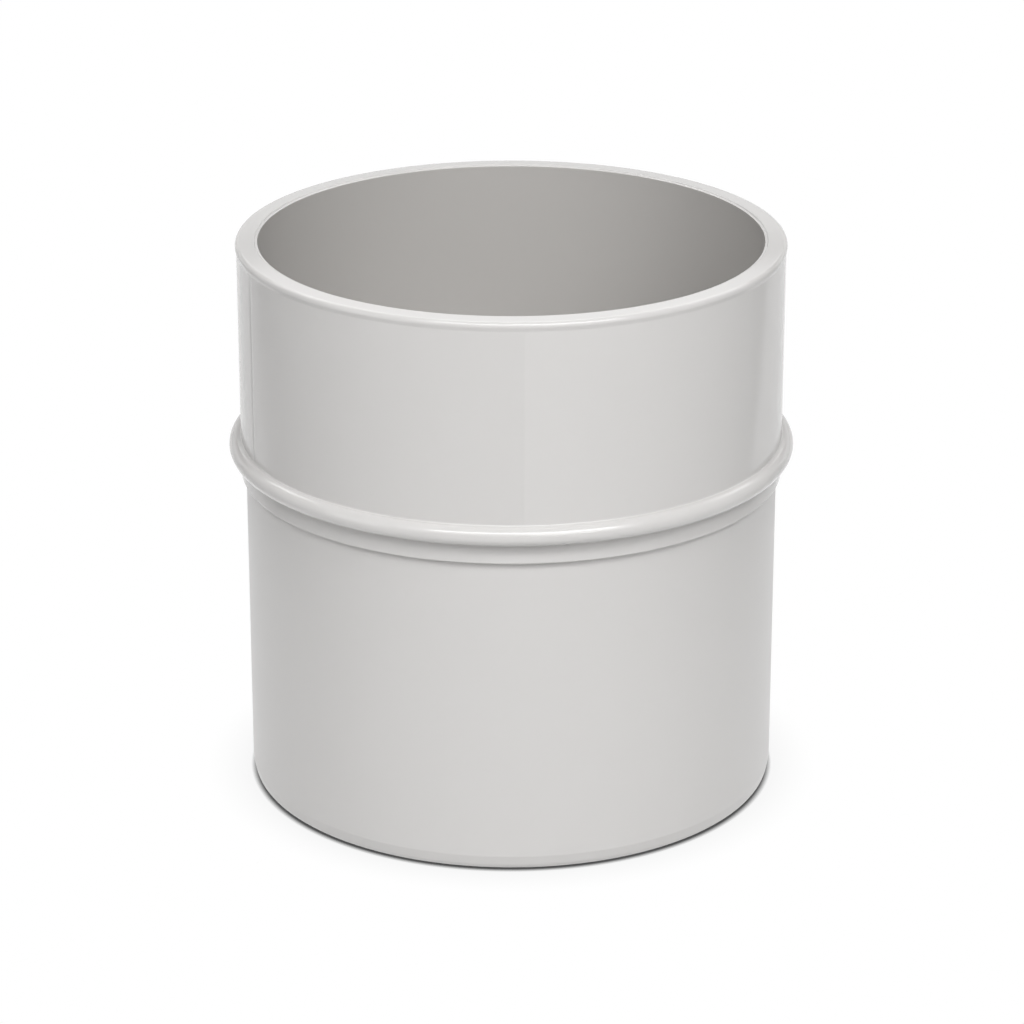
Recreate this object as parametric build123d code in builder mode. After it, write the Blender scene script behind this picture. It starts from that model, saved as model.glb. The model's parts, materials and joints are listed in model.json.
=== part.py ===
from build123d import *
import os

# Pipe socket: one moulded sleeve with a bore at each end, for joining two plain pipes end to end.
# Millimetres, +Z up along the bores, origin at the middle of the foot that the socket stands on.

# The pipe that goes into either end
pipe_diameter = 68.0
pipe_wall = 2.0
pipe_clearance = 0.3

# How far each pipe goes in, and the ring inside that both pipes stop against
upper_depth = 27.5
lower_depth = 46.9
stop_height = 3.0
stop_chamfer = 0.3

# Upper sleeve, the small lip round its mouth, and the rim, which falls a little outwards
upper_wall = 2.9
lip_proud = 0.22
lip_height = 0.8
lip_round = 0.6
rim_fall = 0.12

# Shallow step just inside the rim, with a sloped wall
mouth_step_width = 0.45
mouth_step_depth = 0.18
mouth_step_slope = 0.15

# Bead outside the stop ring, with short flanks and a half-round crest, and the collar under it
bead_flank = 0.32
bead_radius = 1.28
collar_length = 4.0
collar_step = 0.65

# Foot of the lower sleeve: a long outer chamfer, a broken edge and a short lead-in for the pipe
foot_chamfer_height = 2.0
foot_chamfer_width = 0.4
foot_bevel = 0.6
foot_lead_in = 0.5

# Radii that follow from the pipe
bore_radius = pipe_diameter / 2 + pipe_clearance
stop_radius = pipe_diameter / 2 - pipe_wall
upper_radius = bore_radius + upper_wall
lip_radius = upper_radius + lip_proud
lower_wall = upper_wall - collar_step
lower_radius = bore_radius + lower_wall
crest_radius = upper_radius + bead_flank
mouth_radius = bore_radius + mouth_step_width
ledge_radius = mouth_radius - mouth_step_slope

# Levels above the foot
stop_bottom = lower_depth
stop_top = stop_bottom + stop_height
rim = stop_top + upper_depth
ledge = rim - mouth_step_depth
lip_top = rim - rim_fall
lip_bottom = rim - lip_height
bead_middle = (stop_bottom + stop_top) / 2
collar_bottom = bead_middle - collar_length

# Edge treatments never take more than a share of the wall or step that they are cut in
edge_share = 0.45
lip_edge = min(lip_round, 2 * edge_share * (lip_top - lip_bottom))
stop_edge = min(stop_chamfer, edge_share * stop_height, edge_share * (bore_radius - stop_radius))
foot_edge = min(foot_bevel, edge_share * lower_wall)

# The whole socket is one section turned about the axis of the bores
with BuildPart() as pipe_socket:
    with BuildSketch(Plane.XZ) as section:
        with BuildLine():
            # Outside, from the foot up to the crest of the bead
            Polyline(
                (bore_radius + foot_lead_in, 0),
                (lower_radius - foot_chamfer_width, 0),
                (lower_radius, foot_chamfer_height),
                (lower_radius, collar_bottom),
                (upper_radius, collar_bottom),
                (upper_radius, bead_middle - bead_radius),
                (crest_radius, bead_middle - bead_radius),
            )
            CenterArc((crest_radius, bead_middle), bead_radius, -90, 180)
            # Outside above the bead, over the rim and down through both bores
            Polyline(
                (crest_radius, bead_middle + bead_radius),
                (upper_radius, bead_middle + bead_radius),
                (upper_radius, lip_bottom),
                (lip_radius, lip_bottom),
                (lip_radius, lip_top),
                (mouth_radius, rim),
                (ledge_radius, ledge),
                (bore_radius, ledge),
                (bore_radius, stop_top),
                (stop_radius, stop_top),
                (stop_radius, stop_bottom),
                (bore_radius, stop_bottom),
                (bore_radius, foot_lead_in),
                (bore_radius + foot_lead_in, 0),
            )
        make_face()

        # Rounded outer edge of the lip
        fillet(section.vertices().sort_by_distance((lip_radius, lip_top))[0], radius=lip_edge)

        # Broken outer edge of the foot, and inner edges of the stop ring
        chamfer(section.vertices().group_by(Axis.Y)[0].sort_by(Axis.X)[-1], length=foot_edge)
        chamfer(section.vertices().group_by(Axis.X)[0], length=stop_edge)
    revolve(axis=Axis.Z)

pipe_socket.part.label = "pipe_socket"

os.makedirs("parts", exist_ok=True)
export_step(pipe_socket.part, "parts/pipe_socket.step")
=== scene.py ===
"""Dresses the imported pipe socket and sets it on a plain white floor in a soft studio.

The socket is one light grey plastic moulding. Its section is turned about the axis of the bores by a
Geometry Nodes tree, which also leaves the fine lines where the parts of the mould met. Three finishes,
one for each part of the mould, share the same shader node groups.
"""

from __future__ import annotations

import json
import logging
import math
from dataclasses import dataclass
from enum import Enum

import bpy
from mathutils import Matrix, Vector

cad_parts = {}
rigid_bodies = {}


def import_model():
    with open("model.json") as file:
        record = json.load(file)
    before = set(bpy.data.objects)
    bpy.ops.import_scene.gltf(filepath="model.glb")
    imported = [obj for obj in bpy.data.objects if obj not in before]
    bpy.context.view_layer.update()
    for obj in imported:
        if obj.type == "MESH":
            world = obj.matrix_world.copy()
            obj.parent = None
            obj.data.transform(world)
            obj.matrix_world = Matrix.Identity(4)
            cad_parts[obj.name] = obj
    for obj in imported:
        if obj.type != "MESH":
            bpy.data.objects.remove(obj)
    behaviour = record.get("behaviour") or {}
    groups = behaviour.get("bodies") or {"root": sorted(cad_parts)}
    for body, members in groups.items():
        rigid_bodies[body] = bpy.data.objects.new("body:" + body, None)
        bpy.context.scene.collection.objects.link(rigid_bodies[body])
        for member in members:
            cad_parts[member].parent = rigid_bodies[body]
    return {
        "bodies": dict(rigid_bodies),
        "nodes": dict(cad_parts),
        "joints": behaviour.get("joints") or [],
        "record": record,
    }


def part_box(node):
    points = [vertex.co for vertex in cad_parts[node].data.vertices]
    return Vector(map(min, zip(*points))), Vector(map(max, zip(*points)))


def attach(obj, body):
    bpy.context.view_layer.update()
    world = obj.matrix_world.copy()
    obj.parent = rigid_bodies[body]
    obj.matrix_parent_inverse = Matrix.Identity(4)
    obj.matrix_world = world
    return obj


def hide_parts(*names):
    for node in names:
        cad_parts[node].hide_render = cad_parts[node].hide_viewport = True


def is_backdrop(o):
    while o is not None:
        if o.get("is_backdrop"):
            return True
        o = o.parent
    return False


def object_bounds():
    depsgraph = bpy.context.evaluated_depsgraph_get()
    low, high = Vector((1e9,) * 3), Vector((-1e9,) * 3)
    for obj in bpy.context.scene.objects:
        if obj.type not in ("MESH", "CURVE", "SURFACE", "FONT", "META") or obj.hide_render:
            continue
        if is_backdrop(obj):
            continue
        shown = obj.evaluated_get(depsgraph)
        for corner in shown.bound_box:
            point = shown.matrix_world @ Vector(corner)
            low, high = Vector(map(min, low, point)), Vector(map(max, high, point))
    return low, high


LOG = logging.getLogger("pipe_socket")

MM = 0.001
NODE = "pipe_socket"
BODY = "root"
IMAGE_SIDE = 1024
STORED = ("section_radius", "section_level", "section_turn")
WHITE = (1.0, 1.0, 1.0, 1.0)

Colour = tuple[float, float, float]
Direction = tuple[float, float, float]


class Zone(Enum):
    """Parts of the mould, each with a finish of its own."""

    UPPER = "Upper Finish"
    LOWER = "Lower Finish"
    BORE = "Bore Finish"


class NodeSheet:
    """A node tree under construction, with short calls that add and wire its nodes."""

    def __init__(self, tree: bpy.types.NodeTree) -> None:
        """Starts on a tree.

        Args:
            tree: Tree that the nodes are added to.
        """
        self.tree = tree

    def add(self, kind: str, **settings: object) -> bpy.types.Node:
        """Adds a node.

        Args:
            kind: Blender's name for the node type.
            **settings: Properties to set on the node.

        Returns:
            The new node.
        """
        node = self.tree.nodes.new(kind)
        for name, value in settings.items():
            setattr(node, name, value)
        return node

    def feed(self, socket: bpy.types.NodeSocket, value: object) -> None:
        """Links a socket to another, or sets its constant.

        Args:
            socket: Input socket to feed.
            value: Output socket to link from, or a constant.
        """
        if isinstance(value, bpy.types.NodeSocket):
            self.tree.links.new(value, socket)
        else:
            socket.default_value = value

    def put(self, kind: str, inputs: dict[str, object], **settings: object) -> bpy.types.Node:
        """Adds a node and feeds its named inputs.

        Args:
            kind: Blender's name for the node type.
            inputs: Input socket names with what feeds them.
            **settings: Properties to set on the node.

        Returns:
            The new node.
        """
        node = self.add(kind, **settings)
        for name, value in inputs.items():
            self.feed(node.inputs[name], value)
        return node

    def math(self, operation: str, *values: object) -> bpy.types.NodeSocket:
        """Adds a Math node.

        Args:
            operation: Math operation's name.
            *values: What feeds its inputs, in order.

        Returns:
            The node's result.
        """
        node = self.add("ShaderNodeMath", operation=operation)
        for socket, value in zip(node.inputs, values):
            self.feed(socket, value)
        return node.outputs[0]

    def scaled(self, colour: bpy.types.NodeSocket, share: object) -> bpy.types.NodeSocket:
        """Makes a colour lighter or darker.

        Args:
            colour: Colour to change.
            share: What it is multiplied by.

        Returns:
            The changed colour.
        """
        node = self.put("ShaderNodeVectorMath", {"Scale": share}, operation="SCALE")
        self.feed(node.inputs[0], colour)
        return node.outputs["Vector"]

    def dot(self, place: bpy.types.NodeSocket, way: Direction) -> bpy.types.NodeSocket:
        """Distance of a place along a way.

        Args:
            place: Place as a vector.
            way: Direction of length 1.

        Returns:
            The distance.
        """
        node = self.add("ShaderNodeVectorMath", operation="DOT_PRODUCT")
        self.feed(node.inputs[0], place)
        self.feed(node.inputs[1], way)
        return node.outputs["Value"]

    def bell(self, value: bpy.types.NodeSocket, width: object) -> bpy.types.NodeSocket:
        """Bell curve, 1 at 0 and about a third at its width.

        Args:
            value: Value that it follows.
            width: The width.

        Returns:
            The curve.
        """
        part = self.math("DIVIDE", value, width)
        return self.math("EXPONENT", self.math("MULTIPLY", self.math("MULTIPLY", part, part), -1.0))

    def ramp(self, value: bpy.types.NodeSocket, start: object, end: object) -> bpy.types.NodeSocket:
        """Smooth rise from 0 to 1.

        Args:
            value: Value that it follows.
            start: Value where the rise starts.
            end: Value where it ends.

        Returns:
            The rise.
        """
        inputs = {"Value": value, "From Min": start, "From Max": end}
        return self.put("ShaderNodeMapRange", inputs, interpolation_type="SMOOTHSTEP").outputs[0]

    def span(self, value: bpy.types.NodeSocket, start: object, end: object) -> bpy.types.NodeSocket:
        """Mask that is 1 between two values, with a short soft edge inside each of them.

        Args:
            value: Value that it follows.
            start: Lower value.
            end: Upper value.

        Returns:
            The mask.
        """
        edge = 0.4 * MM
        rise = self.ramp(value, start, self.math("ADD", start, edge))
        fall = self.ramp(value, self.math("SUBTRACT", end, edge), end)
        return self.math("MULTIPLY", rise, self.math("SUBTRACT", 1.0, fall))


@dataclass(frozen=True)
class SectionPoint:
    """A point of the socket's section, in millimetres.

    Attributes:
        radius: Distance from the axis.
        level: Height above the foot.
        rounding: Radius that the corner is rounded to, or 0.
    """

    radius: float
    level: float
    rounding: float = 0.0

    def distance(self, other: SectionPoint) -> float:
        """Straight distance to another point of the section."""
        return math.hypot(other.radius - self.radius, other.level - self.level)

    def towards(self, other: SectionPoint, share: float) -> SectionPoint:
        """Plain point part of the way to another one."""
        radius = self.radius + (other.radius - self.radius) * share
        return SectionPoint(radius, self.level + (other.level - self.level) * share)


@dataclass(frozen=True)
class WitnessLine:
    """A fine upright line where two parts of the mould met.

    Attributes:
        name: Name that its inputs carry in the tree.
        azimuth: Degrees round the axis from the front, to the right.
        height: How far it stands out of the wall, in millimetres, negative for a groove.
        half_width: Distance in millimetres at which it has faded to about a third.
        shade: Share by which painted shade darkens the plastic in the line's groove.
        step: Share by which painted shading makes the plastic lighter on the line's right than on its
            left, in place of the change of reflection across the weld.
    """

    name: str
    azimuth: float
    height: float
    half_width: float
    shade: float
    step: float


@dataclass(frozen=True)
class PlasticFinish:
    """Look of the plastic where one part of the mould shaped it.

    Attributes:
        name: Name of the material.
        colour: Linear base colour.
        roughness: Middle roughness of the surface.
        roughness_spread: How far handling changes the roughness, up and down.
        specular: Specular level, 0.5 for a clean gloss.
        tone_spread: How far the colour drifts, as a share of it.
        grain: Depth of the fine surface grain, in millimetres.
        lined: Whether the lines of the mould, with their painted shade and painted shading step, show on
            it.
    """

    name: str
    colour: Colour
    roughness: float
    roughness_spread: float
    specular: float
    tone_spread: float
    grain: float
    lined: bool = False


class SurfaceGroups:
    """Shader node groups that every finish of the plastic uses."""

    def __init__(self, lines: tuple[WitnessLine, ...], bottom: float, top: float) -> None:
        """Builds the groups once.

        Args:
            lines: Lines of the mould.
            bottom: Level in millimetres where the lines start.
            top: Level where they end.
        """
        self.lines = self._lines(lines, bottom, top)
        self.tone = self._tone()
        self.grain = self._grain()
        self.handling = self._handling()

    @staticmethod
    def _sheet(name: str, inputs: dict[str, str], outputs: dict[str, str]) -> NodeSheet:
        """Starts a shader group with its sockets.

        Args:
            name: Name of the group.
            inputs: Input names with their socket types.
            outputs: Output names with their socket types.

        Returns:
            The sheet to build on.
        """
        tree = bpy.data.node_groups.new(name, "ShaderNodeTree")
        for socket, kind in inputs.items():
            tree.interface.new_socket(socket, in_out="INPUT", socket_type=kind)
        for socket, kind in outputs.items():
            tree.interface.new_socket(socket, in_out="OUTPUT", socket_type=kind)
        return NodeSheet(tree)

    def _lines(
        self, lines: tuple[WitnessLine, ...], bottom: float, top: float
    ) -> bpy.types.NodeTree:
        """Builds the painted shade in the grooves of the mould's lines, and the painted shading step
        across them.

        Args:
            lines: Lines of the mould.
            bottom: Level in millimetres where the lines start.
            top: Level where they end.

        Returns:
            Group with a Vector and a Color input and a Color output.
        """
        painted_shading_reach = 16.0
        sheet = self._sheet(
            "mould_lines",
            {"Vector": "NodeSocketVector", "Color": "NodeSocketColor"},
            {"Color": "NodeSocketColor"},
        )
        source = sheet.add("NodeGroupInput").outputs
        place = source["Vector"]
        level = sheet.put("ShaderNodeSeparateXYZ", {"Vector": place}).outputs["Z"]
        change: object = 0.0
        for line in lines:
            turn = math.radians(line.azimuth)
            ahead = sheet.dot(place, (math.sin(turn), -math.cos(turn), 0.0))
            side = sheet.dot(place, (math.cos(turn), math.sin(turn), 0.0))
            width = line.half_width * MM
            # Painted shade: the plastic is darker in the line's groove.
            shade = sheet.math("MULTIPLY", sheet.bell(side, width), line.shade)
            right = sheet.math("SUBTRACT", sheet.ramp(side, -width, width), 0.5)
            # Painted shading step: lighter right of the line than left of it, fading out within the
            # reach, in place of the change of reflection across the weld.
            painted_shading_step = sheet.math("MULTIPLY", sheet.bell(side, painted_shading_reach * MM), line.step)
            marked = sheet.math("SUBTRACT", sheet.math("MULTIPLY", right, painted_shading_step), shade)
            change = sheet.math("MULTIPLY_ADD", marked, sheet.math("GREATER_THAN", ahead, 0.0), change)
        shown = sheet.span(level, bottom * MM, top * MM)
        share = sheet.math("MULTIPLY_ADD", change, shown, 1.0)
        sheet.put("NodeGroupOutput", {"Color": sheet.scaled(source["Color"], share)})
        return sheet.tree

    def _tone(self) -> bpy.types.NodeTree:
        """Builds the slow drift of the plastic's colour.

        Returns:
            Group with a Vector, a Color and a Spread input and a Color output.
        """
        cloud_scale = 38.0
        sheet = self._sheet(
            "mould_tone",
            {"Vector": "NodeSocketVector", "Color": "NodeSocketColor", "Spread": "NodeSocketFloat"},
            {"Color": "NodeSocketColor"},
        )
        source = sheet.add("NodeGroupInput").outputs
        cloud = sheet.put(
            "ShaderNodeTexNoise",
            {"Vector": source["Vector"], "Scale": cloud_scale, "Detail": 3.0, "Roughness": 0.5},
        )
        centred = sheet.math("SUBTRACT", cloud.outputs["Fac"], 0.5)
        drift = sheet.math("MULTIPLY_ADD", centred, source["Spread"], 1.0)
        sheet.put("NodeGroupOutput", {"Color": sheet.scaled(source["Color"], drift)})
        return sheet.tree

    def _grain(self) -> bpy.types.NodeTree:
        """Builds the fine grain and the slow waviness of a moulded face.

        Returns:
            Group with a Vector input and a Height output, about 0 to 1.
        """
        grain_scale = 5200.0
        wave_scale = 90.0
        wave_weight = 3.0
        sheet = self._sheet("mould_grain", {"Vector": "NodeSocketVector"}, {"Height": "NodeSocketFloat"})
        place = sheet.add("NodeGroupInput").outputs["Vector"]
        grain = sheet.put(
            "ShaderNodeTexNoise",
            {"Vector": place, "Scale": grain_scale, "Detail": 2.0, "Roughness": 0.6},
        )
        wave = sheet.put("ShaderNodeTexNoise", {"Vector": place, "Scale": wave_scale, "Detail": 1.0})
        height = sheet.math("MULTIPLY_ADD", wave.outputs["Fac"], wave_weight, grain.outputs["Fac"])
        sheet.put("NodeGroupOutput", {"Height": height})
        return sheet.tree

    def _handling(self) -> bpy.types.NodeTree:
        """Builds the faint smears and rubs that change the gloss.

        Returns:
            Group with a Vector, a Middle and a Spread input and a Roughness output.
        """
        smear_scale = 120.0
        sheet = self._sheet(
            "handling_marks",
            {"Vector": "NodeSocketVector", "Middle": "NodeSocketFloat", "Spread": "NodeSocketFloat"},
            {"Roughness": "NodeSocketFloat"},
        )
        source = sheet.add("NodeGroupInput").outputs
        smear = sheet.put(
            "ShaderNodeTexNoise",
            {
                "Vector": source["Vector"],
                "Scale": smear_scale,
                "Detail": 5.0,
                "Roughness": 0.62,
                "Distortion": 0.8,
            },
        )
        centred = sheet.math("SUBTRACT", smear.outputs["Fac"], 0.5)
        roughness = sheet.math("MULTIPLY_ADD", centred, source["Spread"], source["Middle"])
        sheet.put("NodeGroupOutput", {"Roughness": roughness})
        return sheet.tree

    @staticmethod
    def _placed(
        sheet: NodeSheet, group: bpy.types.NodeTree, inputs: dict[str, object]
    ) -> bpy.types.NodeSocket:
        """Puts one of the groups in a material.

        Args:
            sheet: Material's node sheet.
            group: Group to place.
            inputs: Input socket names with what feeds them.

        Returns:
            The group's output.
        """
        return sheet.put("ShaderNodeGroup", inputs, node_tree=group).outputs[0]

    def material(self, finish: PlasticFinish) -> bpy.types.Material:
        """Makes a finish's material.

        Args:
            finish: Finish to make.

        Returns:
            The material.
        """
        plastic_ior = 1.53
        material = bpy.data.materials.new(finish.name)
        material.use_nodes = True
        sheet = NodeSheet(material.node_tree)
        shader = material.node_tree.nodes["Principled BSDF"]
        place = sheet.add("ShaderNodeTexCoord").outputs["Object"]
        drift = {"Color": (*finish.colour, 1.0), "Spread": finish.tone_spread}
        colour = self._placed(sheet, self.tone, {"Vector": place, **drift})
        rubs = {"Middle": finish.roughness, "Spread": finish.roughness_spread}
        roughness = self._placed(sheet, self.handling, {"Vector": place, **rubs})
        if finish.lined:
            # The lines paint shade into their grooves and a shading step across the front weld.
            colour = self._placed(sheet, self.lines, {"Vector": place, "Color": colour})
        height = self._placed(sheet, self.grain, {"Vector": place})
        depth = {"Distance": finish.grain * MM, "Strength": 1.0}
        bump = sheet.put("ShaderNodeBump", {"Height": height, **depth})
        sheet.feed(shader.inputs["Base Color"], colour)
        sheet.feed(shader.inputs["Roughness"], roughness)
        sheet.feed(shader.inputs["Normal"], bump.outputs["Normal"])
        shader.inputs["IOR"].default_value = plastic_ior
        shader.inputs["Specular IOR Level"].default_value = finish.specular
        return material


@dataclass
class SocketMoulding:
    """The pipe socket's one moulded piece. Lengths are in millimetres, levels are above the foot.

    Attributes:
        rim: Level of the rim.
        bore_radius: Radius of both bores.
        stop_bottom: Level of the stop ring's lower face.
        stop_top: Level of the stop ring's upper face.
        bead_crest: Radius of the bead's crest.
        stop_depth: How far the stop ring stands into the bores.
        stop_rounding: Rounding of the stop ring's edges.
        mouth_step_width: Width of the shallow step inside the rim.
        mouth_step_depth: Depth of that step.
        mouth_step_slope: How far its wall leans.
        rim_fall: How far the rim falls outwards.
        lip_proud: How far the lip stands out of the upper sleeve.
        lip_height: Height of the lip.
        lip_rounding: Rounding of the lip's upper edge.
        lip_fade: Height of the lip's sloped underside.
        lip_fade_rounding: Rounding at both ends of that slope.
        bead_flank: Length of the bead's straight flanks.
        bead_radius: Radius of the bead's half-round crest.
        bead_root: Rounding where the bead meets the wall.
        collar_length: Length of the collar below the bead's middle.
        collar_step: How far the collar stands out of the lower sleeve.
        collar_rounding: Rounding of the collar's lower edge.
        foot_chamfer_width: Width of the long chamfer outside the foot.
        foot_chamfer_height: Height of that chamfer.
        foot_chamfer_rounding: Rounding at its top.
        foot_rounding: Rounding of the foot's outer edge.
        foot_lead_in: Chamfer at the mouth of the lower bore.
        fine_rounding: Rounding of the mouth step's edges.
        crisp_rounding: Rounding of the other small edges.
        support: Distance from a rounding to the first point of a straight run.
        longest_run: Longest stretch of a straight run between points.
        arc_steps: Steps along the bead's crest.
        corner_steps: Steps along each rounding.
        steps_round: Steps round the axis.
        gather_reach: Degrees beside a line within which the steps are gathered.
        gather_share: Width of the steps at the line itself, as a share of the plain ones.
        gather_power: How fast the steps widen away from the line.
        lines: Lines of the mould.
    """

    rim: float
    bore_radius: float
    stop_bottom: float
    stop_top: float
    bead_crest: float
    stop_depth: float = 2.3
    stop_rounding: float = 0.3
    mouth_step_width: float = 0.45
    mouth_step_depth: float = 0.18
    mouth_step_slope: float = 0.15
    rim_fall: float = 0.12
    lip_proud: float = 0.15
    lip_height: float = 0.8
    lip_rounding: float = 0.6
    lip_fade: float = 0.5
    lip_fade_rounding: float = 0.6
    bead_flank: float = 0.32
    bead_radius: float = 1.28
    bead_root: float = 0.2
    collar_length: float = 4.0
    collar_step: float = 0.65
    collar_rounding: float = 0.12
    foot_chamfer_width: float = 0.4
    foot_chamfer_height: float = 2.0
    foot_chamfer_rounding: float = 0.5
    foot_rounding: float = 1.0
    foot_lead_in: float = 0.5
    fine_rounding: float = 0.04
    crisp_rounding: float = 0.08
    support: float = 0.12
    longest_run: float = 6.0
    arc_steps: int = 28
    corner_steps: int = 5
    steps_round: int = 540
    gather_reach: float = 12.0
    gather_share: float = 0.1
    gather_power: float = 3.0
    lines: tuple[WitnessLine, ...] = (
        # Each line's shade is painted shade in its groove; the front line's step is a painted shading
        # step across the weld.
        WitnessLine("Left Line", azimuth=-68.4, height=-0.05, half_width=0.3, shade=0.16, step=0.0),
        WitnessLine("Front Line", azimuth=2.5, height=-0.01, half_width=0.12, shade=0.01, step=0.028),
        WitnessLine("Back Line", azimuth=111.6, height=-0.05, half_width=0.3, shade=0.16, step=0.0),
    )

    @classmethod
    def from_frame(cls, frame: dict[str, object]) -> SocketMoulding:
        """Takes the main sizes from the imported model.


        Returns:
            The moulding, with its main sizes set.
        """
        low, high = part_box(NODE)
        mounts = {mount["name"]: mount for mount in frame["record"]["mounts"]}
        upper, lower = mounts["upper_bore"], mounts["lower_bore"]
        upper_half = upper["dims"]["length_mm"] / 2
        lower_half = lower["dims"]["length_mm"] / 2
        return cls(
            rim=high.z / MM,
            bore_radius=upper["dims"]["r_mm"],
            stop_bottom=lower["pos_m"][2] / MM + lower_half,
            stop_top=upper["pos_m"][2] / MM - upper_half,
            bead_crest=(high.x - low.x) / MM / 2,
        )

    @property
    def bead_level(self) -> float:
        """Level of the bead's middle, beside the stop ring's."""
        return (self.stop_bottom + self.stop_top) / 2

    @property
    def upper_radius(self) -> float:
        """Outside radius of the upper sleeve."""
        return self.bead_crest - self.bead_radius - self.bead_flank

    @property
    def lower_radius(self) -> float:
        """Outside radius of the lower sleeve."""
        return self.upper_radius - self.collar_step

    @property
    def collar_bottom(self) -> float:
        """Level of the collar's lower edge."""
        return self.bead_level - self.collar_length

    @property
    def line_span(self) -> tuple[float, float]:
        """Levels between which the lines show, from the top of the bead to the lip."""
        return self.bead_level + self.bead_radius, self.rim - self.lip_height - self.lip_fade

    def _arc(
        self, radius: float, level: float, size: float, start: float, end: float, steps: int
    ) -> list[SectionPoint]:
        """Points along a round stretch of the section.

        Args:
            radius: Arc centre's distance from the axis.
            level: Arc centre's level.
            size: Radius of the arc.
            start: First angle, in degrees up from straight out.
            end: Last angle.
            steps: Number of steps between them.

        Returns:
            The points, ends included.
        """
        angles = [math.radians(start + (end - start) * i / steps) for i in range(steps + 1)]
        return [SectionPoint(radius + size * math.cos(a), level + size * math.sin(a)) for a in angles]

    def _bead(self) -> list[SectionPoint]:
        """Points of the bead, its half-round crest between two short flanks, from below upwards.

        Returns:
            The points, from the root below the bead to the root above it.
        """
        wall, level, size = self.upper_radius, self.bead_level, self.bead_radius
        below = SectionPoint(wall, level - size, self.bead_root)
        above = SectionPoint(wall, level + size, self.bead_root)
        crest = self._arc(wall + self.bead_flank, level, size, -90, 90, self.arc_steps)
        return [below, *crest, above]

    def _corners(self) -> list[SectionPoint]:
        """Corners and round stretches of the section, anticlockwise from the foot.

        Returns:
            The points, with the corners' roundings.
        """
        bore, upper, lower = self.bore_radius, self.upper_radius, self.lower_radius
        stop = bore - self.stop_depth
        lip = upper + self.lip_proud
        lip_bottom = self.rim - self.lip_height
        mouth = bore + self.mouth_step_width
        ledge = self.rim - self.mouth_step_depth
        crisp, fine = self.crisp_rounding, self.fine_rounding
        return [
            SectionPoint(bore + self.foot_lead_in, 0, crisp),
            SectionPoint(lower - self.foot_chamfer_width, 0, self.foot_rounding),
            SectionPoint(lower, self.foot_chamfer_height, self.foot_chamfer_rounding),
            SectionPoint(lower, self.collar_bottom, crisp),
            SectionPoint(upper, self.collar_bottom, self.collar_rounding),
            *self._bead(),
            SectionPoint(upper, lip_bottom - self.lip_fade, self.lip_fade_rounding),
            SectionPoint(lip, lip_bottom, self.lip_fade_rounding),
            SectionPoint(lip, self.rim - self.rim_fall, self.lip_rounding),
            SectionPoint(mouth, self.rim, fine),
            SectionPoint(mouth - self.mouth_step_slope, ledge, fine),
            SectionPoint(bore, ledge, crisp),
            SectionPoint(bore, self.stop_top, crisp),
            SectionPoint(stop, self.stop_top, self.stop_rounding),
            SectionPoint(stop, self.stop_bottom, self.stop_rounding),
            SectionPoint(bore, self.stop_bottom, crisp),
            SectionPoint(bore, self.foot_lead_in, crisp),
        ]

    @staticmethod
    def _tangent(before: SectionPoint, corner: SectionPoint, after: SectionPoint) -> float:
        """Length that a corner's rounding takes from each of its two runs.

        Args:
            before: Point before the corner.
            corner: The corner.
            after: Point after the corner.

        Returns:
            The length, in millimetres.
        """
        way_in = Vector((corner.radius - before.radius, corner.level - before.level))
        way_out = Vector((after.radius - corner.radius, after.level - corner.level))
        return corner.rounding * math.tan(way_in.angle(way_out) / 2)

    def _section(self) -> list[SectionPoint]:
        """The whole section, with points along the straight runs that keep their shading straight.

        Returns:
            The points of the closed outline.
        """
        corners = self._corners()
        count = len(corners)
        rounds = zip([corners[-1], *corners], corners, [*corners[1:], corners[0]])
        taken = [self._tangent(before, corner, after) for before, corner, after in rounds]
        points: list[SectionPoint] = []
        for i, corner in enumerate(corners):
            following = corners[(i + 1) % count]
            length = corner.distance(following)
            start = taken[i] + self.support
            end = length - taken[(i + 1) % count] - self.support
            points.append(corner)
            if end - start > self.support:
                pieces = max(1, math.ceil((end - start) / self.longest_run))
                shares = [(start + (end - start) * k / pieces) / length for k in range(pieces + 1)]
                points.extend(corner.towards(following, share) for share in shares)
        return points

    def _outline(self) -> bpy.types.Object:
        """Makes the section's outline, a ring of edges with each corner's rounding on its point.

        Returns:
            The outline's object, which the tree turns into the socket.
        """
        points = self._section()
        count = len(points)
        mesh = bpy.data.meshes.new("socket_moulding")
        spots = [(point.radius * MM, 0.0, point.level * MM) for point in points]
        mesh.from_pydata(spots, [(i, (i + 1) % count) for i in range(count)], [])
        rounding = mesh.attributes.new("rounding", "FLOAT", "POINT")
        rounding.data.foreach_set("value", [point.rounding * MM for point in points])
        outline = bpy.data.objects.new("socket_moulding", mesh)
        bpy.context.scene.collection.objects.link(outline)
        return outline

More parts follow.
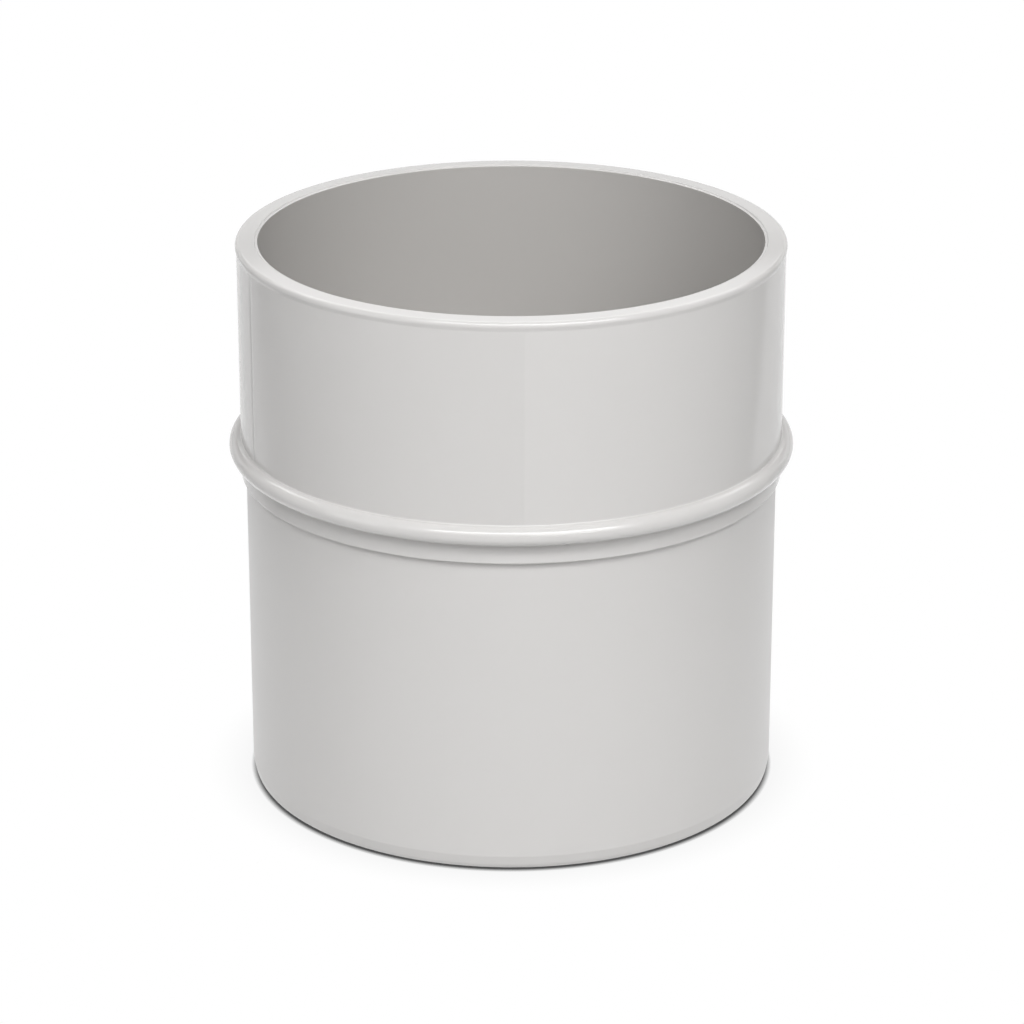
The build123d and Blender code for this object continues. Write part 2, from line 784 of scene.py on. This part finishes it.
    def _tree(self) -> bpy.types.NodeTree:
        """Builds the tree that turns the section about the axis.

        Returns:
            The tree, with named inputs for its counts, levels, lines and finishes.
        """
        tree = bpy.data.node_groups.new("turned_section", "GeometryNodeTree")
        inputs = {"Geometry": "NodeSocketGeometry", "Steps Round": "NodeSocketInt"}
        inputs |= {"Corner Steps": "NodeSocketInt", "Gather Reach": "NodeSocketFloat"}
        inputs |= {"Gather Share": "NodeSocketFloat", "Wall Radius": "NodeSocketFloat"}
        inputs |= {"Bore Radius": "NodeSocketFloat", "Collar Level": "NodeSocketFloat"}
        inputs |= {"Line Bottom": "NodeSocketFloat", "Line Top": "NodeSocketFloat"}
        for line in self.lines:
            for measure in ("Azimuth", "Height", "Half Width"):
                inputs[f"{line.name} {measure}"] = "NodeSocketFloat"
        inputs |= {zone.value: "NodeSocketMaterial" for zone in Zone}
        for name, kind in inputs.items():
            tree.interface.new_socket(name, in_out="INPUT", socket_type=kind)
        tree.interface.new_socket("Geometry", in_out="OUTPUT", socket_type="NodeSocketGeometry")
        sheet = NodeSheet(tree)
        given = sheet.add("NodeGroupInput").outputs
        radius, level, turn = (self._named(sheet, name) for name in STORED)
        mesh = self._swept(sheet, given)
        spot = self._spot(sheet, given, radius, level, turn)
        mesh = sheet.put("GeometryNodeSetPosition", {"Geometry": mesh, "Position": spot}).outputs[0]
        mesh = sheet.put("GeometryNodeSetShadeSmooth", {"Geometry": mesh}).outputs[0]
        mesh = sheet.put("GeometryNodeRealizeInstances", {"Geometry": mesh}).outputs[0]
        is_bore = sheet.math("LESS_THAN", radius, given["Bore Radius"])
        is_lower = sheet.math("LESS_THAN", level, given["Collar Level"])
        for zone, chosen in ((Zone.UPPER, True), (Zone.LOWER, is_lower), (Zone.BORE, is_bore)):
            dressed = sheet.put(
                "GeometryNodeSetMaterial",
                {"Geometry": mesh, "Selection": chosen, "Material": given[zone.value]},
            )
            mesh = dressed.outputs[0]
        sheet.feed(sheet.add("NodeGroupOutput").inputs[0], mesh)
        return tree

    @staticmethod
    def _named(sheet: NodeSheet, name: str) -> bpy.types.NodeSocket:
        """Reads a stored number inside the tree.

        Args:
            sheet: Tree's sheet.
            name: Name that it was stored under.

        Returns:
            The number's socket.
        """
        return sheet.put("GeometryNodeInputNamedAttribute", {"Name": name}, data_type="FLOAT").outputs[0]

    @staticmethod
    def _stored(
        sheet: NodeSheet, geometry: bpy.types.NodeSocket, name: str, value: object
    ) -> bpy.types.NodeSocket:
        """Stores a number on the points of a curve.

        Args:
            sheet: Tree's sheet.
            geometry: Curve's socket.
            name: Name to store it under.
            value: Number to store.

        Returns:
            The curve with the number on it.
        """
        return sheet.put(
            "GeometryNodeStoreNamedAttribute",
            {"Geometry": geometry, "Name": name, "Value": value},
            data_type="FLOAT",
            domain="POINT",
        ).outputs[0]

    def _swept(self, sheet: NodeSheet, given: bpy.types.NodeOutputs) -> bpy.types.NodeSocket:
        """Rounds the section's corners and sweeps it round a ring.

        Args:
            sheet: Tree's sheet.
            given: The tree's inputs.

        Returns:
            The swept mesh, with each point's radius, level and turn stored on it.
        """
        section = sheet.put("GeometryNodeMeshToCurve", {"Mesh": given["Geometry"]}).outputs[0]
        section = sheet.put(
            "GeometryNodeFilletCurve",
            {
                "Curve": section,
                "Count": given["Corner Steps"],
                "Radius": self._named(sheet, "rounding"),
                "Limit Radius": True,
            },
            mode="POLY",
        ).outputs[0]
        place = sheet.put(
            "ShaderNodeSeparateXYZ", {"Vector": sheet.add("GeometryNodeInputPosition").outputs[0]}
        ).outputs
        section = self._stored(sheet, section, STORED[0], place["X"])
        section = self._stored(sheet, section, STORED[1], place["Z"])
        steps = {"Resolution": given["Steps Round"]}
        ring = sheet.put("GeometryNodeCurvePrimitiveCircle", steps).outputs[0]
        ring = self._stored(sheet, ring, STORED[2], self._gathered(sheet, given))
        return sheet.put("GeometryNodeCurveToMesh", {"Curve": ring, "Profile Curve": section}).outputs[0]

    def _gathered(self, sheet: NodeSheet, given: bpy.types.NodeOutputs) -> bpy.types.NodeSocket:
        """Turn of each step round the axis, with the steps gathered close beside each line.

        Args:
            sheet: Tree's sheet.
            given: The tree's inputs.

        Returns:
            The turn in radians, 0 at the front.
        """
        index = sheet.add("GeometryNodeInputIndex").outputs[0]
        share = sheet.math("DIVIDE", index, given["Steps Round"])
        turn = sheet.math("MULTIPLY_ADD", share, math.tau, -math.pi)
        reach, kept = given["Gather Reach"], given["Gather Share"]
        for line in self.lines:
            away = self._away(sheet, given, turn, line)
            side = sheet.math("SIGN", away)
            part = sheet.math("DIVIDE", sheet.math("ABSOLUTE", away), reach)
            eased = sheet.math("POWER", part, self.gather_power)
            rest = sheet.math("MULTIPLY", eased, sheet.math("SUBTRACT", 1.0, kept))
            drawn = sheet.math("MULTIPLY", sheet.math("MULTIPLY_ADD", part, kept, rest), reach)
            moved = sheet.math("SUBTRACT", sheet.math("MULTIPLY", drawn, side), away)
            inside = sheet.math("LESS_THAN", part, 1.0)
            turn = sheet.math("MULTIPLY_ADD", moved, inside, turn)
        return turn

    @staticmethod
    def _away(
        sheet: NodeSheet, given: bpy.types.NodeOutputs, turn: bpy.types.NodeSocket, line: WitnessLine
    ) -> bpy.types.NodeSocket:
        """Turn away from a line, the short way round.

        Args:
            sheet: Tree's sheet.
            given: The tree's inputs.
            turn: Turn in radians.
            line: The line.

        Returns:
            The turn away from it, from minus pi to pi.
        """
        azimuth = given[f"{line.name} Azimuth"]
        return sheet.math("WRAP", sheet.math("SUBTRACT", turn, azimuth), math.pi, -math.pi)

    def _spot(
        self,
        sheet: NodeSheet,
        given: bpy.types.NodeOutputs,
        radius: bpy.types.NodeSocket,
        level: bpy.types.NodeSocket,
        turn: bpy.types.NodeSocket,
    ) -> bpy.types.NodeSocket:
        """Place of each point of the mesh, with the lines pressed into the upper sleeve.

        Args:
            sheet: Tree's sheet.
            given: The tree's inputs.
            radius: Point's stored radius.
            level: Point's stored level.
            turn: Point's stored turn.

        Returns:
            The place as a vector.
        """
        shown = sheet.span(level, given["Line Bottom"], given["Line Top"])
        outside = sheet.math("GREATER_THAN", radius, given["Wall Radius"])
        mask = sheet.math("MULTIPLY", shown, outside)
        for line in self.lines:
            away = sheet.math("MULTIPLY", self._away(sheet, given, turn, line), given["Wall Radius"])
            bell = sheet.bell(away, given[f"{line.name} Half Width"])
            height = sheet.math("MULTIPLY", given[f"{line.name} Height"], mask)
            radius = sheet.math("MULTIPLY_ADD", bell, height, radius)
        right = sheet.math("MULTIPLY", radius, sheet.math("SINE", turn))
        front = sheet.math("MULTIPLY", radius, sheet.math("COSINE", turn))
        back = sheet.math("MULTIPLY", front, -1.0)
        return sheet.put("ShaderNodeCombineXYZ", {"X": right, "Y": back, "Z": level}).outputs[0]

    def _values(self, finishes: dict[Zone, bpy.types.Material]) -> dict[str, object]:
        """Values of the tree's inputs.

        Args:
            finishes: Material of each part of the mould.

        Returns:
            Input names with their values, in metres and radians.
        """
        line_bottom, line_top = self.line_span
        values: dict[str, object] = {
            "Steps Round": self.steps_round,
            "Corner Steps": self.corner_steps,
            "Gather Reach": math.radians(self.gather_reach),
            "Gather Share": self.gather_share,
            "Wall Radius": (self.bore_radius + self.upper_radius) / 2 * MM,
            "Bore Radius": (self.bore_radius + self.crisp_rounding / 2) * MM,
            "Collar Level": self.collar_bottom * MM,
            "Line Bottom": line_bottom * MM,
            "Line Top": line_top * MM,
        }
        for line in self.lines:
            values[f"{line.name} Azimuth"] = math.radians(line.azimuth)
            values[f"{line.name} Height"] = line.height * MM
            values[f"{line.name} Half Width"] = line.half_width * MM
        return values | {zone.value: material for zone, material in finishes.items()}

    def build(self, finishes: dict[Zone, bpy.types.Material]) -> bpy.types.Object:
        """Builds the moulding as a plain mesh that stands for the CAD node.

        Args:
            finishes: Material of each part of the mould.

        Returns:
            The finished piece.
        """
        piece = self._outline()
        modifier = piece.modifiers.new("turned_section", "NODES")
        modifier.node_group = self._tree()
        values = self._values(finishes)
        for item in modifier.node_group.interface.items_tree:
            if item.in_out == "INPUT" and item.name in values:
                modifier[item.identifier] = values[item.name]
        graph = bpy.context.evaluated_depsgraph_get()
        mesh = bpy.data.meshes.new_from_object(piece.evaluated_get(graph), depsgraph=graph)
        piece.modifiers.remove(modifier)
        for name in (*STORED, "rounding"):
            if name in mesh.attributes:
                mesh.attributes.remove(mesh.attributes[name])
        outline, piece.data = piece.data, mesh
        bpy.data.meshes.remove(outline)
        mesh.name = piece.name
        self._face_outwards(mesh)
        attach(piece, BODY)
        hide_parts(NODE)
        return piece

    @staticmethod
    def _face_outwards(mesh: bpy.types.Mesh) -> None:
        """Turns the faces of the closed mesh outwards if its enclosed volume comes out negative.

        Args:
            mesh: The closed mesh.
        """
        mesh.calc_loop_triangles()
        spots = [vertex.co for vertex in mesh.vertices]
        corners = ([spots[i] for i in triangle.vertices] for triangle in mesh.loop_triangles)
        if sum(a.dot(b.cross(c)) for a, b, c in corners) < 0:
            mesh.flip_normals()


@dataclass(frozen=True)
class Softbox:
    """A rectangular lamp that points at the socket.

    Attributes:
        name: Name of the lamp.
        azimuth: Degrees round the socket from the camera, to the right.
        elevation: Degrees above the floor.
        width: Width, in metres.
        height: Height, in metres.
        brightness: Brightness of its face, 1 for white in the picture.
        distance: Distance from the socket's middle, in metres.
    """

    name: str
    azimuth: float
    elevation: float
    width: float
    height: float
    brightness: float
    distance: float = 1.0

    def build(self, target: Vector) -> bpy.types.Object:
        """Hangs the lamp.

        Args:
            target: Point that it faces.

        Returns:
            The lamp's object.
        """
        data = bpy.data.lights.new(self.name, "AREA")
        data.shape = "RECTANGLE"
        data.size, data.size_y = self.width, self.height
        data.energy = math.pi * self.width * self.height * self.brightness
        lamp = bpy.data.objects.new(self.name, data)
        turn, lift = math.radians(self.azimuth), math.radians(self.elevation)
        way = Vector((math.sin(turn) * math.cos(lift), -math.cos(turn) * math.cos(lift), math.sin(lift)))
        lamp.location = target + way * self.distance
        lamp.rotation_mode = "QUATERNION"
        lamp.rotation_quaternion = way.to_track_quat("Z", "Y")
        bpy.context.scene.collection.objects.link(lamp)
        return lamp


@dataclass
class Studio:
    """White floor and backdrop, soft lamps and the camera. Lengths are in metres.

    Attributes:
        middle: Middle of the socket, which the lamps face.
        camera_distance: Distance from the camera to its target.
        camera_elevation: Degrees by which the camera looks down.
        camera_target: Point that the camera looks at.
        focal_pixels: Focal length, in pixels of the picture.
        sensor: Width of the camera's sensor, in millimetres.
        world_light: Brightness of the world as light.
        floor_half: Half the floor's width.
        floor_level: Level of the floor, a hair under the foot.
        backdrop_half: Half the backdrop's width, and its distance behind the socket.
        backdrop_top: Level of the backdrop's upper edge.
        backdrop_sheen: Brightness of the backdrop in reflections.
        floor_colour: Colour of the paper in the light that it throws back.
        contact_reach: Reach of the tight and of the wide shadow beside the foot.
        contact_shade: Strength of each of them.
        contact_floor: Least brightness of the paper in them.
        near_sheen: Brightness in reflections of the floor close to the socket.
        far_sheen: The same, farther off, before and beside the socket.
        back_sheen: The same, farther off, behind the socket.
        far_reach: Distances from the axis over which near passes to far.
        back_reach: Distances behind the axis over which the floor behind starts.
        edge_line: Half the width of the floor behind, at the axis, and its growth for each metre.
        edge_widths: Softness of its right and of its left edge.
        softboxes: The lamps.
    """

    middle: Vector
    camera_distance: float = 0.5480
    camera_elevation: float = 21.14
    camera_target: Vector = Vector((0.0001, 0.0, 0.03728))
    focal_pixels: float = 3943.6
    sensor: float = 36.0
    world_light: float = 0.07
    floor_half: float = 2.0
    floor_level: float = -0.00002
    backdrop_half: float = 1.2
    backdrop_top: float = 0.44
    backdrop_sheen: float = 0.75
    floor_colour: Colour = (0.62, 0.62, 0.62)
    contact_reach: tuple[float, float] = (0.0009, 0.007)
    contact_shade: tuple[float, float] = (1.3, 0.16)
    contact_floor: float = 0.08
    near_sheen: float = 1.2
    far_sheen: float = 0.45
    back_sheen: float = 0.94
    far_reach: tuple[float, float] = (0.09, 0.15)
    back_reach: tuple[float, float] = (0.03, 0.07)
    edge_line: tuple[float, float] = (0.12, 0.57)
    edge_widths: tuple[float, float] = (0.006, 0.05)
    softboxes: tuple[Softbox, ...] = (
        Softbox("front_softbox", azimuth=5.0, elevation=55.0, width=1.13, height=0.21, brightness=9.0),
        Softbox("right_softbox", azimuth=30.0, elevation=36.0, width=0.64, height=0.48, brightness=3.35),
        Softbox("left_softbox", azimuth=-20.0, elevation=40.0, width=0.85, height=0.35, brightness=1.45),
        Softbox("top_softbox", azimuth=0.0, elevation=80.0, width=0.75, height=0.85, brightness=0.3),
        Softbox("rear_softbox", azimuth=180.0, elevation=34.5, width=0.6, height=0.46, brightness=1.1),
        Softbox("back_softbox", azimuth=180.0, elevation=50.0, width=1.4, height=0.3, brightness=2.7),
        Softbox(
            "left_side_softbox", azimuth=-65.0, elevation=20.0, width=0.42, height=0.5, brightness=1.35
        ),
        Softbox(
            "left_rear_softbox", azimuth=-125.0, elevation=20.0, width=0.42, height=0.54, brightness=0.35
        ),
    )

    def _papers(self) -> None:
        """Lays the floor and stands the backdrop at a distance behind the socket."""
        half, low = self.floor_half, self.floor_level
        wide, top = self.backdrop_half, self.backdrop_top
        floor = [(-half, -half, low), (half, -half, low), (half, half, low), (-half, half, low)]
        upright = [(-wide, wide, low), (wide, wide, low), (wide, wide, top), (-wide, wide, top)]
        sheets = {"floor": floor, "backdrop": upright}
        for name, corners in sheets.items():
            mesh = bpy.data.meshes.new(name)
            mesh.from_pydata(corners, [], [(0, 1, 2, 3)])
            mesh.materials.append(self._paper_material(name))
            sheet = bpy.data.objects.new(name, mesh)
            bpy.context.scene.collection.objects.link(sheet)
            sheet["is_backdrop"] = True

    def _paper_material(self, name: str) -> bpy.types.Material:
        """Makes paper white to the camera and in reflections, with the socket's shadow on it.

        A camera behind the paper looks through it, so that the foot can be seen from below.

        Args:
            name: Name of the sheet of paper.

        Returns:
            The material.
        """
        material = bpy.data.materials.new(f"{name}_paper")
        material.use_nodes = True
        material.node_tree.nodes.clear()
        sheet = NodeSheet(material.node_tree)
        place = sheet.add("ShaderNodeTexCoord").outputs["Object"]
        path = sheet.add("ShaderNodeLightPath").outputs
        bounced = sheet.put("ShaderNodeBsdfDiffuse", {"Color": (*self.floor_colour, 1.0)}).outputs[0]
        paper: object = 1.0
        for reach, shade in zip(self.contact_reach, self.contact_shade):
            open_sky = sheet.put("ShaderNodeAmbientOcclusion", {"Distance": reach}).outputs["AO"]
            hidden = sheet.math("SUBTRACT", 1.0, open_sky)
            paper = sheet.math("MULTIPLY_ADD", hidden, -shade, paper)
        paper = sheet.math("MAXIMUM", paper, self.contact_floor)
        seen = sheet.put("ShaderNodeEmission", {"Color": WHITE, "Strength": paper}).outputs[0]
        sheen = self._sheen(sheet, place) if name == "floor" else self.backdrop_sheen
        mirrored = sheet.put("ShaderNodeEmission", {"Color": WHITE, "Strength": sheen}).outputs[0]
        surface = self._mixed(sheet, path["Is Camera Ray"], bounced, seen)
        surface = self._mixed(sheet, path["Is Glossy Ray"], surface, mirrored)
        behind = sheet.add("ShaderNodeNewGeometry").outputs["Backfacing"]
        clear = sheet.add("ShaderNodeBsdfTransparent").outputs[0]
        unseen = sheet.math("MULTIPLY", behind, path["Is Camera Ray"])
        surface = self._mixed(sheet, unseen, surface, clear)
        sheet.put("ShaderNodeOutputMaterial", {"Surface": surface})
        return material

    def _sheen(self, sheet: NodeSheet, place: bpy.types.NodeSocket) -> bpy.types.NodeSocket:
        """Brightness of the paper in reflections: white, dimmer well before and beside the socket.

        Args:
            sheet: Paper material's sheet.
            place: Place on the paper.

        Returns:
            The brightness.
        """
        away = sheet.put("ShaderNodeVectorMath", {"Vector": place}, operation="LENGTH").outputs["Value"]
        right, back, _ = sheet.put("ShaderNodeSeparateXYZ", {"Vector": place}).outputs
        lit = sheet.ramp(back, *self.back_reach)
        start, lean = self.edge_line
        half = sheet.math("MULTIPLY_ADD", back, lean, start)
        for operation, width in zip(("SUBTRACT", "ADD"), self.edge_widths):
            inside = sheet.ramp(sheet.math(operation, half, right), -width, width)
            lit = sheet.math("MULTIPLY", lit, inside)
        far = sheet.math("MULTIPLY_ADD", lit, self.back_sheen - self.far_sheen, self.far_sheen)
        gain = sheet.math("SUBTRACT", far, self.near_sheen)
        return sheet.math("MULTIPLY_ADD", sheet.ramp(away, *self.far_reach), gain, self.near_sheen)

    @staticmethod
    def _mixed(
        sheet: NodeSheet,
        share: bpy.types.NodeSocket,
        first: bpy.types.NodeSocket,
        second: bpy.types.NodeSocket,
    ) -> bpy.types.NodeSocket:
        """Mixes two shaders.

        Args:
            sheet: Material's sheet.
            share: Share of the second shader.
            first: First shader.
            second: Second shader.

        Returns:
            The mixed shader.
        """
        node = sheet.add("ShaderNodeMixShader")
        for socket, value in zip(node.inputs, (share, first, second)):
            sheet.feed(socket, value)
        return node.outputs[0]

    def _world(self) -> None:
        """Sets a white world, full white to the camera and soft as light."""
        world = bpy.data.worlds.new("white_studio")
        world.use_nodes = True
        sheet = NodeSheet(world.node_tree)
        background = world.node_tree.nodes["Background"]
        seen = sheet.add("ShaderNodeLightPath").outputs["Is Camera Ray"]
        strength = sheet.math("MULTIPLY_ADD", seen, 1.0 - self.world_light, self.world_light)
        sheet.feed(background.inputs["Color"], WHITE)
        sheet.feed(background.inputs["Strength"], strength)
        bpy.context.scene.world = world

    def _camera(self) -> bpy.types.Object:
        """Sets up the camera at the photograph's angle.

        Returns:
            The camera's object.
        """
        data = bpy.data.cameras.new("camera")
        data.sensor_width = self.sensor
        data.lens = self.sensor * self.focal_pixels / IMAGE_SIDE
        camera = bpy.data.objects.new("camera", data)
        lift = math.radians(self.camera_elevation)
        way = Vector((0.0, -math.cos(lift), math.sin(lift)))
        camera.location = self.camera_target + way * self.camera_distance
        camera.rotation_mode = "QUATERNION"
        camera.rotation_quaternion = (-way).to_track_quat("-Z", "Y")
        bpy.context.scene.collection.objects.link(camera)
        bpy.context.scene.camera = camera
        return camera

    def build(self) -> None:
        """Builds the papers, the world, the lamps and the camera."""
        self._papers()
        self._world()
        for softbox in self.softboxes:
            softbox.build(self.middle)
        self._camera()
        bpy.context.scene.view_settings.view_transform = "Standard"


SLEEVE_GREY: Colour = (0.635, 0.624, 0.614)
# The bore's grey is darker than the sleeves' as painted shade inside the bore; the plastic is the same.
SHADED_BORE_GREY: Colour = (0.5, 0.486, 0.47)

FINISHES: dict[Zone, PlasticFinish] = {
    Zone.UPPER: PlasticFinish(
        name="upper_sleeve_gloss",
        colour=SLEEVE_GREY,
        roughness=0.12,
        roughness_spread=0.04,
        specular=0.5,
        tone_spread=0.03,
        grain=0.0015,
        lined=True,
    ),
    Zone.LOWER: PlasticFinish(
        name="lower_sleeve_satin",
        colour=SLEEVE_GREY,
        roughness=0.34,
        roughness_spread=0.06,
        specular=0.5,
        tone_spread=0.03,
        grain=0.002,
    ),
    Zone.BORE: PlasticFinish(
        name="bore_matt",
        colour=SHADED_BORE_GREY,
        roughness=0.55,
        roughness_spread=0.06,
        specular=0.25,
        tone_spread=0.03,
        grain=0.002,
    ),
}


def main() -> None:
    """Loads the frame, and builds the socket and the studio."""
    logging.basicConfig(level=logging.INFO, format="%(name)s: %(message)s")
    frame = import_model()
    cad_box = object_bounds()
    moulding = SocketMoulding.from_frame(frame)
    groups = SurfaceGroups(moulding.lines, *moulding.line_span)
    finishes = {zone: groups.material(finish) for zone, finish in FINISHES.items()}
    piece = moulding.build(finishes)
    LOG.info("%s: %d faces", piece.name, len(piece.data.polygons))
    low, high = cad_box
    Studio(middle=(low + high) / 2).build()
    LOG.info("studio: papers, world, lamps and camera")


if __name__ == "__main__":
    main()
